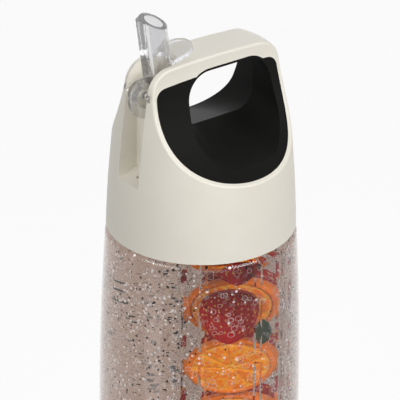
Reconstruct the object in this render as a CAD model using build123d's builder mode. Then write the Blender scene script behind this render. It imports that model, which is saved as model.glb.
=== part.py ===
from build123d import *

import os
from math import atan2, cos, degrees, hypot, radians, sin, sqrt, tan

os.makedirs("parts", exist_ok=True)

# Fruit infuser water bottle. Millimetres, +Z up, origin at the middle of the foot.
# The handle bar runs along X, the drinking spout hinges at its -X end, and the hand
# opening goes through along Y.

overrun = 20.0

# Bottle body: a barrel-sided clear shell with a round shoulder and a straight neck
body_radius = 45.0
widest_height = 75.0
shoulder_height = 180.0
shoulder_radius = 41.2
shoulder_round = 4.5
base_radius = 43.4
base_round = 7.0
foot_width = 4.0
punt_depth = 2.6
floor_thickness = 3.4
body_wall = 2.6
neck_radius = 33.2
neck_wall = 2.6
neck_height = 21.5
neck_lip_round = 0.8
inner_shoulder_round = 2.0

# Lid: a tapering round shell cut front and back by one concave sweep along X
seat_gap = 0.3
lid_radius = 41.0
lid_height = 80.6
lid_belly_height_share = 0.43
lid_belly_radius = 38.75
lid_top_radius = 32.9
lid_crown = 2.2
lid_shoulder_round = 10.0
lid_edge_round = 1.0
bar_half_width = 9.5
bell_radius = 47.5
bell_top_height = 77.0
cavity_radius = 37.2
cavity_height = 27.0

# Soft grip liner, let into the concave faces and through the hand opening
liner_thickness = 1.2
liner_recess = 0.3
liner_lip = 1.6
liner_top_drop = 0.2
liner_corner_round = 5.0
liner_split_gap = 0.1

# Hand opening: a waisted tunnel, narrowest on the middle plane
tunnel_left = 12.0
tunnel_right = 27.5
tunnel_floor = 46.6
tunnel_ceiling = 73.6
tunnel_corner = 9.0
tunnel_mouth_reach = 40.0
tunnel_left_flare = 13.0
tunnel_right_flare = 1.3
tunnel_floor_fall = 12.1
tunnel_ceiling_rise = 1.8
tunnel_corner_growth = 9.3

# Spout, its hinge, and the channel that it folds into
pivot_x = -32.5
pivot_height = 68.5
hub_radius = 9.0
hub_half_width = 5.9
hub_disc_thickness = 1.6
hub_core_radius = 5.0
hub_core_back_reach = 1.5
hub_gap = 0.8
trunnion_radius = 2.0
trunnion_gap = 0.05
trunnion_reach = 8.3
trunnion_socket_depth = 8.6
hub_boss_radius = 3.1
hub_boss_reach = 6.6
hub_groove_radius = 4.2
hub_groove_depth = 1.0
channel_half_width = 7.0
channel_floor_x = -29.0
channel_bottom_height = 31.5
channel_bottom_slope = 15.5
slot_inner_x = -15.2
slot_floor_height = 63.9
spout_tube_radius = 5.3
spout_bore_radius = 3.6
spout_throat_radius = 2.4
spout_throat_height = 70.0
spout_axis_x = -21.3
spout_lean = 8.0
spout_foot_height = 64.6
spout_tip_height = 98.2
spout_tip_fall = 16.0
spout_tip_side_fall = 20.0
spout_keel_reach = 8.4
spout_keel_round = 0.9
spout_heel_radius = 16.0
tab_root_x = -21.0
tab_root_height = 82.1
tab_slope = 14.5
tab_half_width = 7.0
tab_length = 14.0
tab_thickness = 2.0

# Water way inside the lid
riser_x = -21.2
riser_radius = 2.7
riser_bore = 1.7
seal_radius = 4.6
seal_foot_height = 57.0
seal_top_height = 63.7
seal_hub_gap = 0.3
close_fit = 0.05

# Insert under the lid: thread skirt, deck, straw socket and infuser socket
insert_fit = 0.15
insert_wall = 2.2
insert_skirt_height = 1.5
deck_thickness = 2.6
straw_x = -20.5
straw_radius = 3.25
straw_wall = 0.75
straw_foot_height = 9.0
straw_top_drop = 1.5
sleeve_wall = 0.9
sleeve_top_drop = 1.0
socket_wall = 1.05
socket_length = 18.4
gasket_wall = 3.6
vent_x = -19.0
vent_y = 15.5
vent_stem_radius = 1.55
vent_flange_radius = 3.2
vent_flange_thickness = 1.0
vent_bill_radius = 2.2
vent_bill_length = 4.4
vent_bill_tip_radius = 0.6
vent_bore_radius = 0.8
vent_port_x = -33.4
vent_port_radius = 0.9
vent_gallery_depth = 1.0

# Infuser basket, hung off centre from the insert on three bayonet lugs
basket_x = 12.0
basket_radius = 16.0
basket_wall = 1.6
basket_floor = 1.8
basket_length = 151.2
basket_top_gap = 0.5
ring_gap = 0.3
ring_wall = 2.0
ring_length = 10.4
lug_count = 3
lug_width = 6.0
lug_reach = 1.2
lug_height = 2.4
lug_drop = 3.4
lug_groove_gap = 0.3
lug_entry_margin = 0.8
bayonet_twist = 60.0
basket_slot_width = 2.4
basket_slot_length = 25.0
basket_slot_rows = 4
basket_slot_pairs = 5
basket_slot_pitch = 31.0
basket_slot_first = 20.0
basket_drain_radius = 1.5
basket_drain_circle = 8.5
basket_drain_count = 6

# Fruit packed in the basket, standing on edge with its faces to the front left
fruit_gap = 0.3
fruit_turn = 38.0
orange_radius = 13.5
orange_thickness = 5.6
orange_edge_round = 0.8
strawberry_radius = 9.6
strawberry_length = 26.0
strawberry_widest_share = 0.36
strawberry_crown_share = 0.42
strawberry_tip_radius = 1.6
berry_side = 2.4
fruit_rows = 4
fruit_pitch = 28.4
fruit_top_drop = 35.8
lime_radius = 12.6
lime_thickness = 4.4
lime_count = 2
mint_length = 12.0
mint_half_width = 2.6
mint_thickness = 0.9
mint_side = 9.4
mint_drop = 12.0

# Sizes that follow from those above
lid_rim = shoulder_height + seat_gap
lid_top = lid_rim + lid_height
neck_bore = neck_radius - neck_wall
neck_top = shoulder_height + neck_height
deck_top = lid_rim + cavity_height
deck_underside = deck_top - deck_thickness
pivot_z = lid_rim + pivot_height
liner_top_height = tunnel_ceiling - liner_top_drop
bell_centre_y = bar_half_width + bell_radius
bell_centre_z = lid_rim + bell_top_height
basket_bore = basket_radius - basket_wall
basket_top = deck_underside - basket_top_gap
basket_foot_height = basket_top - basket_length
basket_plane = Plane(origin=(basket_x, 0, 0))
facing = (-sin(radians(fruit_turn)), -cos(radians(fruit_turn)), 0)
across = (cos(radians(fruit_turn)), -sin(radians(fruit_turn)), 0)


def corner_at(sketch, x, y):
    """The sketch vertex nearest to a point of its plane."""
    return sketch.vertices().sort_by_distance(Vector(x, y, 0))[0]


def bell_cut(inset):
    """What the concave front and back sweeps remove, with their faces moved inwards."""
    with BuildPart() as cut:
        with BuildSketch(Plane.YZ):
            for side in (-1, 1):
                with Locations((side * bell_centre_y, bell_centre_z)):
                    Circle(bell_radius + inset)
                    Rectangle(
                        2 * (bell_radius + inset),
                        lid_height,
                        align=(Align.CENTER, Align.MIN),
                    )
        extrude(amount=lid_radius + overrun, both=True)
    return cut.part


def lid_dome(inset, top, corner_round):
    """The lid's round outer form, moved inwards by the inset and closed at a height."""
    belly_height = lid_belly_height_share * lid_height
    with BuildPart() as dome:
        with BuildSketch(Plane.XZ) as half:
            with BuildLine():
                ThreePointArc(
                    (lid_radius - inset, lid_rim),
                    (lid_belly_radius - inset, lid_rim + belly_height),
                    (lid_top_radius - inset, lid_top),
                )
                Polyline(
                    (lid_top_radius - inset, lid_top),
                    (0, lid_top),
                    (0, lid_rim),
                    (lid_radius - inset, lid_rim),
                )
            make_face()
            with BuildLine():
                ThreePointArc(
                    (-lid_radius, top - lid_crown),
                    (0, top),
                    (lid_radius, top - lid_crown),
                )
                Polyline(
                    (lid_radius, top - lid_crown),
                    (lid_radius, lid_top + overrun),
                    (-lid_radius, lid_top + overrun),
                    (-lid_radius, top - lid_crown),
                )
            make_face(mode=Mode.SUBTRACT)
            fillet(half.vertices().sort_by(Axis.Y)[-2], corner_round)
        revolve(axis=Axis.Z)
    return dome.part


def hand_tunnel(grow):
    """The hand opening, waisted on the middle plane, enlarged all round."""
    with BuildPart() as tunnel:
        for side in (-1, 1):
            for reach, flare in ((0, 0), (side * tunnel_mouth_reach, 1)):
                left = -(tunnel_left + flare * tunnel_left_flare + grow)
                right = tunnel_right + flare * tunnel_right_flare + grow
                low = lid_rim + tunnel_floor - flare * tunnel_floor_fall - grow
                high = lid_rim + tunnel_ceiling + flare * tunnel_ceiling_rise + grow
                with BuildSketch(Plane.XZ.offset(reach)):
                    with Locations(((left + right) / 2, (low + high) / 2)):
                        RectangleRounded(
                            right - left,
                            high - low,
                            tunnel_corner + flare * tunnel_corner_growth + grow,
                        )
            loft(ruled=True)
    return tunnel.part


with BuildPart() as bottle_body:
    foot_outer = base_radius - base_round
    foot_inner = foot_outer - foot_width
    with BuildSketch(Plane.XZ) as body_outside:
        with BuildLine():
            Polyline(
                (0, punt_depth),
                (foot_inner - punt_depth, punt_depth),
                (foot_inner, 0),
                (foot_outer, 0),
            )
            TangentArc((foot_outer, 0), (base_radius, base_round), tangent=(1, 0))
            ThreePointArc(
                (base_radius, base_round),
                (body_radius, widest_height),
                (shoulder_radius, shoulder_height),
            )
            Polyline(
                (shoulder_radius, shoulder_height),
                (neck_radius, shoulder_height),
                (neck_radius, neck_top),
                (0, neck_top),
                (0, punt_depth),
            )
        make_face()
        fillet(corner_at(body_outside, shoulder_radius, shoulder_height), shoulder_round)
        fillet(corner_at(body_outside, neck_radius, neck_top), neck_lip_round)
    revolve(axis=Axis.Z)
    inner_floor = punt_depth + floor_thickness
    inner_base = base_radius - body_wall
    inner_shoulder = shoulder_height - body_wall
    with BuildSketch(Plane.XZ) as body_inside:
        with BuildLine():
            Line((0, inner_floor), (inner_base - base_round, inner_floor))
            TangentArc(
                (inner_base - base_round, inner_floor),
                (inner_base, inner_floor + base_round),
                tangent=(1, 0),
            )
            ThreePointArc(
                (inner_base, inner_floor + base_round),
                (body_radius - body_wall, widest_height),
                (shoulder_radius - body_wall, inner_shoulder),
            )
            Polyline(
                (shoulder_radius - body_wall, inner_shoulder),
                (neck_bore, inner_shoulder),
                (neck_bore, neck_top + overrun),
                (0, neck_top + overrun),
                (0, inner_floor),
            )
        make_face()
        fillet(
            corner_at(body_inside, shoulder_radius - body_wall, inner_shoulder),
            inner_shoulder_round,
        )
    revolve(axis=Axis.Z, mode=Mode.SUBTRACT)

liner_inset = liner_recess + liner_thickness

channel_out_x = -(lid_radius + overrun)
channel_out_height = channel_bottom_height + (channel_out_x - channel_floor_x) * tan(
    radians(channel_bottom_slope)
)
slot_end_x = slot_inner_x - channel_half_width

with BuildPart() as liner_pocket:
    add(lid_dome(liner_lip, lid_rim + liner_top_height, liner_corner_round))
    add(bell_cut(liner_inset), mode=Mode.INTERSECT)

with BuildPart() as spout_space:
    with BuildSketch(Plane.XZ):
        with BuildLine():
            Polyline(
                (channel_floor_x, lid_rim + channel_bottom_height),
                (channel_out_x, lid_rim + channel_out_height),
                (channel_out_x, lid_top + overrun),
                (channel_floor_x, lid_top + overrun),
                close=True,
            )
        make_face()
        with Locations((pivot_x, pivot_z)):
            Circle(hub_radius + hub_gap)
    extrude(amount=channel_half_width, both=True)
    with BuildSketch(Plane.XY.offset(lid_rim + slot_floor_height)):
        with Locations((slot_end_x, 0)):
            Circle(channel_half_width)
            Rectangle(
                slot_end_x - pivot_x,
                2 * channel_half_width,
                align=(Align.MAX, Align.CENTER),
            )
    extrude(amount=lid_height)

with BuildPart() as lid_shell:
    add(lid_dome(0, lid_top, lid_shoulder_round))
    add(bell_cut(0), mode=Mode.SUBTRACT)
    lip_edges = [
        edge
        for edge in lid_shell.edges().filter_by(GeomType.LINE, reverse=True)
        if abs((edge @ 0.5).Y) > bar_half_width - close_fit
    ]
    fillet(lip_edges, lid_edge_round)
    add(liner_pocket.part, mode=Mode.SUBTRACT)
    add(hand_tunnel(liner_thickness), mode=Mode.SUBTRACT)
    with BuildSketch(Plane.XY.offset(lid_rim)):
        Circle(cavity_radius)
    extrude(amount=cavity_height, mode=Mode.SUBTRACT)
    add(spout_space.part, mode=Mode.SUBTRACT)
    with BuildSketch(Plane.XZ):
        with Locations((pivot_x, pivot_z)):
            Circle(trunnion_radius + trunnion_gap)
    extrude(amount=trunnion_socket_depth, both=True, mode=Mode.SUBTRACT)
    with BuildSketch(Plane.XY.offset(deck_top)):
        with Locations((riser_x, 0)):
            Circle(riser_radius + close_fit)
    extrude(amount=seal_foot_height - cavity_height, mode=Mode.SUBTRACT)
    with BuildSketch(Plane.XY.offset(lid_rim + seal_foot_height)):
        with Locations((riser_x, 0)):
            Circle(seal_radius + close_fit)
    extrude(amount=lid_height, mode=Mode.SUBTRACT)
    with BuildSketch(Plane.XY.offset(deck_top)):
        with Locations((vent_port_x, 0)):
            Circle(vent_port_radius)
    extrude(amount=channel_bottom_height - cavity_height, mode=Mode.SUBTRACT)

liners = {}
for name, side in (("grip_liner_front", 1), ("grip_liner_back", -1)):
    with BuildPart() as grip_liner:
        add(
            lid_dome(
                liner_lip + close_fit,
                lid_rim + liner_top_height - close_fit,
                liner_corner_round,
            )
        )
        add(bell_cut(liner_inset - close_fit), mode=Mode.INTERSECT)
        add(hand_tunnel(liner_thickness - close_fit))
        add(bell_cut(liner_recess), mode=Mode.SUBTRACT)
        add(hand_tunnel(0), mode=Mode.SUBTRACT)
        split(
            bisect_by=Plane.XZ.offset(side * liner_split_gap / 2),
            keep=Keep.TOP if side > 0 else Keep.BOTTOM,
        )
    liners[name] = grip_liner

# Insert: everything that hangs from its deck passes down through the neck
skirt_outer = cavity_radius - insert_fit
skirt_inner = skirt_outer - insert_wall
sleeve_outer = straw_radius + sleeve_wall
socket_inner = sleeve_outer + close_fit
socket_outer = socket_inner + socket_wall
ring_inner = basket_radius + ring_gap
ring_outer = ring_inner + ring_wall
groove_outer = basket_radius + lug_reach + lug_groove_gap
lug_top = basket_top - lug_drop
with BuildPart() as lid_insert:
    with BuildSketch(Plane.XZ):
        with BuildLine():
            Polyline(
                (0, deck_underside),
                (skirt_inner, deck_underside),
                (skirt_inner, lid_rim + insert_skirt_height),
                (skirt_outer, lid_rim + insert_skirt_height),
                (skirt_outer, deck_top),
                (0, deck_top),
                close=True,
            )
        make_face()
    revolve(axis=Axis.Z)
    with BuildSketch(Plane.XY.offset(deck_underside)):
        with Locations((straw_x, 0)):
            Circle(socket_outer)
            Circle(socket_inner, mode=Mode.SUBTRACT)
    extrude(amount=-socket_length)
    with BuildSketch(basket_plane.offset(deck_underside)):
        Circle(ring_outer)
        Circle(ring_inner, mode=Mode.SUBTRACT)
    extrude(amount=-ring_length)
    with BuildSketch(basket_plane.offset(lug_top + lug_groove_gap)):
        Circle(groove_outer)
        Circle(basket_radius, mode=Mode.SUBTRACT)
    extrude(amount=-(lug_height + 2 * lug_groove_gap), mode=Mode.SUBTRACT)
    with BuildSketch(basket_plane.offset(lug_top)):
        with PolarLocations(basket_radius, lug_count, start_angle=bayonet_twist):
            Rectangle(2 * (lug_reach + lug_groove_gap), lug_width + lug_entry_margin)
    extrude(amount=-overrun, mode=Mode.SUBTRACT)
    with BuildSketch(Plane.XY.offset(deck_underside)):
        with Locations((riser_x, 0)):
            Circle(riser_bore)
        with Locations((vent_x, vent_y)):
            Circle(vent_stem_radius + close_fit)
    extrude(amount=deck_thickness, mode=Mode.SUBTRACT)
    gallery_span = hypot(vent_x - vent_port_x, vent_y)
    with BuildSketch(Plane.XY.offset(deck_top)):
        with Locations(((vent_x + vent_port_x) / 2, vent_y / 2)):
            SlotCenterToCenter(
                gallery_span,
                2 * vent_port_radius,
                rotation=degrees(atan2(vent_y, vent_x - vent_port_x)),
            )
    extrude(amount=-vent_gallery_depth, mode=Mode.SUBTRACT)

with BuildPart() as neck_gasket:
    with BuildSketch(Plane.XY.offset(neck_top + seat_gap)):
        Circle(neck_bore + gasket_wall)
        Circle(neck_bore, mode=Mode.SUBTRACT)
    extrude(amount=deck_underside - close_fit - neck_top - seat_gap)

vent_plane = Plane(
    origin=(vent_x, vent_y, 0), x_dir=Plane.XZ.x_dir, z_dir=Plane.XZ.z_dir
)
with BuildPart() as vent_valve:
    flange_top = deck_underside - close_fit
    flange_foot = flange_top - vent_flange_thickness
    bill_foot = flange_foot - vent_bill_length
    stem_top = deck_top - vent_gallery_depth
    with BuildSketch(vent_plane):
        with BuildLine():
            Polyline(
                (vent_bore_radius, stem_top),
                (vent_stem_radius, stem_top),
                (vent_stem_radius, flange_top),
                (vent_flange_radius, flange_top),
                (vent_flange_radius, flange_foot),
                (vent_bill_radius, flange_foot),
                (vent_bill_tip_radius, bill_foot),
                (0, bill_foot),
                (0, bill_foot + vent_flange_thickness),
                (vent_bore_radius, flange_foot),
                close=True,
            )
        make_face()
    revolve(axis=Axis(vent_plane.origin, Axis.Z.direction))

with BuildPart() as riser_tube:
    with BuildSketch(Plane.XY.offset(deck_top)):
        with Locations((riser_x, 0)):
            Circle(riser_radius)
            Circle(riser_bore, mode=Mode.SUBTRACT)
    extrude(amount=seal_foot_height - cavity_height)

with BuildPart() as hub_seal:
    with BuildSketch(Plane.XY.offset(lid_rim + seal_foot_height)):
        with Locations((riser_x, 0)):
            Circle(seal_radius)
            Circle(riser_bore, mode=Mode.SUBTRACT)
    extrude(amount=seal_top_height - seal_foot_height)
    with BuildSketch(Plane.XZ):
        with Locations((pivot_x, pivot_z)):
            Circle(hub_radius + seal_hub_gap)
    extrude(amount=channel_half_width, both=True, mode=Mode.SUBTRACT)

with BuildPart() as straw_sleeve:
    with BuildSketch(Plane.XY.offset(deck_underside - socket_length)):
        with Locations((straw_x, 0)):
            Circle(sleeve_outer)
            Circle(straw_radius + close_fit, mode=Mode.SUBTRACT)
    extrude(amount=socket_length - sleeve_top_drop)

with BuildPart() as straw:
    with BuildSketch(Plane.XY.offset(straw_foot_height)):
        with Locations((straw_x, 0)):
            Circle(straw_radius)
            Circle(straw_radius - straw_wall, mode=Mode.SUBTRACT)
    extrude(amount=deck_underside - straw_top_drop - straw_foot_height)

# Spout: hub disc, trunnions, keeled tube and thumb tab in one clear moulding
spout_axis = Plane(
    origin=(spout_axis_x, 0, pivot_z),
    x_dir=(cos(radians(spout_lean)), 0, sin(radians(spout_lean))),
    z_dir=(-sin(radians(spout_lean)), 0, cos(radians(spout_lean))),
)
spout_rise = spout_tip_height - pivot_height
spout_drop = pivot_height - spout_foot_height
tip_x = spout_axis_x - spout_rise * tan(radians(spout_lean))
tab_plane = Plane(
    origin=(tab_root_x, 0, lid_rim + tab_root_height),
    x_dir=(cos(radians(tab_slope)), 0, sin(radians(tab_slope))),
    z_dir=(-sin(radians(tab_slope)), 0, cos(radians(tab_slope))),
)
with BuildPart() as spout:
    with BuildSketch(spout_axis.offset(-spout_drop)):
        Circle(spout_tube_radius)
        with Locations((spout_keel_round - spout_keel_reach, 0)):
            Circle(spout_keel_round)
        make_hull()
    extrude(amount=spout_drop + spout_rise + overrun)
    with BuildSketch(Plane.XZ):
        with Locations((pivot_x, pivot_z)):
            Rectangle(2 * overrun, overrun, align=(Align.MIN, Align.MAX))
            Circle(spout_heel_radius, mode=Mode.SUBTRACT)
    extrude(amount=overrun, both=True, mode=Mode.SUBTRACT)
    for radius, front, back in (
        (hub_radius, hub_half_width, hub_disc_thickness - hub_half_width),
        (hub_core_radius, hub_half_width, hub_core_back_reach),
        (hub_boss_radius, hub_boss_reach, hub_core_back_reach),
        (trunnion_radius, trunnion_reach, trunnion_reach),
    ):
        with BuildSketch(Plane.XZ.offset(-back)):
            with Locations((pivot_x, pivot_z)):
                Circle(radius)
        extrude(amount=front + back)
    with BuildSketch(Plane.XZ.offset(hub_half_width)):
        with Locations((pivot_x, pivot_z)):
            Circle(hub_groove_radius)
            Circle(hub_boss_radius, mode=Mode.SUBTRACT)
    extrude(amount=-hub_groove_depth, mode=Mode.SUBTRACT)
    with BuildSketch(tab_plane):
        with Locations((tab_length - tab_half_width, 0)):
            Circle(tab_half_width)
            Rectangle(
                tab_length - tab_half_width,
                2 * tab_half_width,
                align=(Align.MAX, Align.CENTER),
            )
    extrude(amount=-tab_thickness)
    split(
        bisect_by=Plane(
            origin=(tip_x, 0, lid_rim + spout_tip_height),
            z_dir=(tan(radians(spout_tip_fall)), -tan(radians(spout_tip_side_fall)), 1),
        ),
        keep=Keep.BOTTOM,
    )
    with BuildSketch(spout_axis.offset(spout_throat_height - pivot_height)):
        Circle(spout_bore_radius)
    extrude(amount=spout_rise + overrun, mode=Mode.SUBTRACT)
    with BuildSketch(spout_axis):
        Circle(spout_throat_radius)
    extrude(amount=overrun, both=True, mode=Mode.SUBTRACT)

# Infuser basket
with BuildPart() as infuser_basket:
    with BuildSketch(basket_plane.offset(basket_foot_height)):
        Circle(basket_radius)
    extrude(amount=basket_top - basket_foot_height)
    with BuildSketch(basket_plane.offset(lug_top)):
        with PolarLocations(basket_radius, lug_count):
            Rectangle(2 * lug_reach, lug_width)
    extrude(amount=-lug_height)
    with BuildSketch(basket_plane.offset(basket_foot_height + basket_floor)):
        Circle(basket_bore)
    extrude(amount=basket_top - basket_foot_height, mode=Mode.SUBTRACT)
    for turn in range(basket_slot_pairs):
        angle = radians(180 * turn / basket_slot_pairs)
        slot_plane = Plane(
            origin=(basket_x, 0, 0),
            x_dir=(cos(angle), sin(angle), 0),
            z_dir=(sin(angle), -cos(angle), 0),
        )
        with BuildSketch(slot_plane):
            for row in range(basket_slot_rows):
                level = basket_foot_height + basket_slot_first + row * basket_slot_pitch
                with Locations((0, level)):
                    SlotOverall(basket_slot_length, basket_slot_width, rotation=90)
        extrude(amount=basket_radius + overrun, both=True, mode=Mode.SUBTRACT)
    with BuildSketch(basket_plane.offset(basket_foot_height)):
        with PolarLocations(basket_drain_circle, basket_drain_count):
            Circle(basket_drain_radius)
    extrude(amount=basket_floor, mode=Mode.SUBTRACT)


def fruit_plane(side, depth, level):
    """An upright plane in the basket, facing the front left, by side and depth."""
    return Plane(
        origin=(
            basket_x + side * across[0] + depth * facing[0],
            side * across[1] + depth * facing[1],
            level,
        ),
        x_dir=across,
        z_dir=facing,
    )


def orange_wheel(depth, level):
    """An orange slice standing on edge, as wide as the fruit or the bore allows."""
    far = max(abs(depth), abs(depth + orange_thickness))
    room = sqrt((basket_bore - fruit_gap) ** 2 - far**2)
    with BuildPart() as wheel:
        with BuildSketch(fruit_plane(0, depth, level)):
            Circle(min(orange_radius, room))
        extrude(amount=orange_thickness)
        fillet(wheel.edges().filter_by(GeomType.CIRCLE), orange_edge_round)
    return wheel.part


def strawberry_half(side, depth, level, front):
    """Half a strawberry, crown up, its cut face towards the slice beside it."""
    plane = fruit_plane(side, depth, level)
    half_length = strawberry_length / 2
    widest = strawberry_length * strawberry_widest_share - half_length
    crown = strawberry_radius * strawberry_crown_share
    with BuildPart() as half:
        with BuildSketch(plane):
            with BuildLine():
                Line((0, half_length), (0, -half_length))
                Line((0, -half_length), (strawberry_tip_radius, -half_length))
                Spline(
                    (strawberry_tip_radius, -half_length),
                    (strawberry_radius, -widest),
                    (crown, half_length),
                    tangents=((1, 1), (-1, 0)),
                )
                Line((crown, half_length), (0, half_length))
            make_face()
        revolve(
            axis=Axis(plane.origin, (0, 0, -1 if front else 1)),
            revolution_arc=180,
        )
    return half.part


wheel_front = -orange_thickness / 2
berry_seat = orange_thickness / 2 + fruit_gap
forward_wheel = fruit_gap - orange_thickness / 4
fruit_top_level = basket_top - fruit_top_drop
levels = [fruit_top_level - row * fruit_pitch for row in range(fruit_rows)]
fruit = {
    "orange_slice_1": orange_wheel(wheel_front, levels[0]),
    "orange_slice_2": orange_wheel(wheel_front, levels[1]),
    "orange_slice_3": orange_wheel(forward_wheel, levels[2]),
    "orange_slice_4": orange_wheel(wheel_front, levels[3]),
}
berries = (
    (berry_side, berry_seat, levels[0], True),
    (0, -berry_seat, levels[0], False),
    (0, berry_seat, levels[1], True),
    (0, -berry_seat, levels[1], False),
    (0, forward_wheel - fruit_gap, levels[2], False),
    (0, berry_seat, levels[3], True),
    (0, -berry_seat, levels[3], False),
)
for count, (side, depth, level, front) in enumerate(berries, 1):
    fruit[f"strawberry_half_{count}"] = strawberry_half(side, depth, level, front)
basket_inside = basket_foot_height + basket_floor + fruit_gap
for count in range(lime_count):
    with BuildPart() as lime:
        rise = count * (lime_thickness + fruit_gap)
        with BuildSketch(basket_plane.offset(basket_inside + rise)):
            Circle(lime_radius)
        extrude(amount=lime_thickness)
        fillet(lime.edges().filter_by(GeomType.CIRCLE), orange_edge_round)
    fruit[f"lime_slice_{count + 1}"] = lime.part
with BuildPart() as mint:
    with BuildSketch(fruit_plane(mint_side, berry_seat, levels[1] - mint_drop)):
        with BuildLine():
            for bulge in (-1, 1):
                ThreePointArc(
                    (0, -mint_length / 2),
                    (bulge * mint_half_width, 0),
                    (0, mint_length / 2),
                )
        make_face()
    extrude(amount=mint_thickness)
fruit["mint_leaf"] = mint.part

pieces = {
    "bottle_body": bottle_body.part,
    "neck_gasket": neck_gasket.part,
    "lid_shell": lid_shell.part,
    "grip_liner_front": liners["grip_liner_front"].part,
    "grip_liner_back": liners["grip_liner_back"].part,
    "lid_insert": lid_insert.part,
    "vent_valve": vent_valve.part,
    "riser_tube": riser_tube.part,
    "hub_seal": hub_seal.part,
    "straw_sleeve": straw_sleeve.part,
    "straw": straw.part,
    "spout": spout.part,
    "infuser_basket": infuser_basket.part,
    **fruit,
}
for name, piece in pieces.items():
    piece.label = name
    export_step(piece, f"parts/{name}.step")
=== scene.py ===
"""Dresses the fruit infuser water bottle and sets it in a plain studio.

Metres, +Z up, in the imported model's frame: the bottle stands at the origin, the drinking spout is
at the -X end of the lid, and the camera looks at the front left from above.
"""

import logging
import math
import random
from collections.abc import Callable, Iterator
from contextlib import contextmanager
from dataclasses import dataclass
from enum import Enum

import bpy
import numpy as np
from mathutils import Matrix, Vector


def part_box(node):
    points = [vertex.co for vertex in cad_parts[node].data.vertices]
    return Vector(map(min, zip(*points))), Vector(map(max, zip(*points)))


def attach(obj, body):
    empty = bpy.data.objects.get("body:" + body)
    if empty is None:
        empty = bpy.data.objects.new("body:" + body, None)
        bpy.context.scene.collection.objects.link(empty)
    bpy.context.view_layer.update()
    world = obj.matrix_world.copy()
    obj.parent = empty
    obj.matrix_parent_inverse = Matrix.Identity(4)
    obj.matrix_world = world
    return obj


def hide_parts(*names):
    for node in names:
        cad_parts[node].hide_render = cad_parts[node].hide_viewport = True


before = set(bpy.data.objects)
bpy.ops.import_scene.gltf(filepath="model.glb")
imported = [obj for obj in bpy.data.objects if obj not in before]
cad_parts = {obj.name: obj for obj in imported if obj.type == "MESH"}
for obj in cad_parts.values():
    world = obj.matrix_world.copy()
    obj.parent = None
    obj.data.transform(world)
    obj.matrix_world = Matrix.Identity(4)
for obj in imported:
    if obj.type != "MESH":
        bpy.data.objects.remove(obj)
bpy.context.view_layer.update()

MM = 0.001
FULL_TURN = 2 * math.pi
UP = Vector((0, 0, 1))

Piece = bpy.types.Object
Socket = bpy.types.NodeSocket
Pair = tuple[float, float]

log = logging.getLogger("infuser_bottle")


class Body(Enum):
    """The moving bodies that pieces ride on."""

    BOTTLE = "bottle"
    LID = "lid"
    INFUSER = "infuser"


# Small helpers


def linear(hex_colour: str) -> tuple[float, float, float, float]:
    """Turns an sRGB hex colour into Blender's linear colour.

    Args:
        hex_colour: six hex digits.

    Returns:
        Linear red, green, blue and a full alpha.
    """
    parts = [int(hex_colour[i : i + 2], 16) / 255 for i in (0, 2, 4)]
    red, green, blue = (
        part / 12.92 if part <= 0.04045 else ((part + 0.055) / 1.055) ** 2.4 for part in parts
    )
    return red, green, blue, 1.0


def direction(azimuth: float, elevation: float) -> Vector:
    """The direction from the bottle to a lamp or camera.

    Args:
        azimuth: degrees to the right of the front, which is -Y.
        elevation: degrees above level.

    Returns:
        A vector one metre long.
    """
    turn, rise = math.radians(azimuth), math.radians(elevation)
    flat = math.cos(rise)
    return Vector((math.sin(turn) * flat, -math.cos(turn) * flat, math.sin(rise)))


def make_active(piece: Piece) -> None:
    """Selects this one object and makes it the active one."""
    bpy.ops.object.select_all(action="DESELECT")
    piece.select_set(True)
    bpy.context.view_layer.objects.active = piece


@contextmanager
def editing(piece: Piece) -> Iterator[None]:
    """Edit mode on one object, for as long as the block lasts."""
    make_active(piece)
    bpy.ops.object.mode_set(mode="EDIT")
    yield
    bpy.ops.object.mode_set(mode="OBJECT")


def drawn(primitive: Callable[..., object], **sizes: object) -> Piece:
    """Adds one of Blender's primitives with nothing else selected.

    Args:
        primitive: the operator.
        sizes: what it is called with.

    Returns:
        The new object.
    """
    bpy.ops.object.select_all(action="DESELECT")
    primitive(**sizes)
    return bpy.context.object


def joined(main: Piece, *others: Piece) -> Piece:
    """Joins objects into the main one, which keeps its name and takes on their materials."""
    make_active(main)
    for other in others:
        other.select_set(True)
    bpy.ops.object.join()
    return main


def apply_modifier(piece: Piece, kind: str, **settings: object) -> None:
    """Adds a modifier to an object, sets it up and applies it.

    Args:
        piece: the object, which becomes the active one.
        kind: the modifier's type.
        settings: the modifier's own properties.
    """
    make_active(piece)
    modifier = piece.modifiers.new(kind.title(), kind)
    for name, value in settings.items():
        setattr(modifier, name, value)
    bpy.ops.object.modifier_apply(modifier=modifier.name)


def close_and_turn_out(piece: Piece, hole_sides: int = 0) -> None:
    """Merges doubles, closes holes and points all faces outwards.

    Args:
        piece: the object to clean.
        hole_sides: the most sides of a hole that is closed, or zero for any hole.
    """
    with editing(piece):
        bpy.ops.mesh.select_all(action="SELECT")
        bpy.ops.mesh.remove_doubles(threshold=1e-6)
        bpy.ops.mesh.fill_holes(sides=hole_sides)
        bpy.ops.mesh.select_all(action="SELECT")
        bpy.ops.mesh.normals_make_consistent(inside=False)


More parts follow.
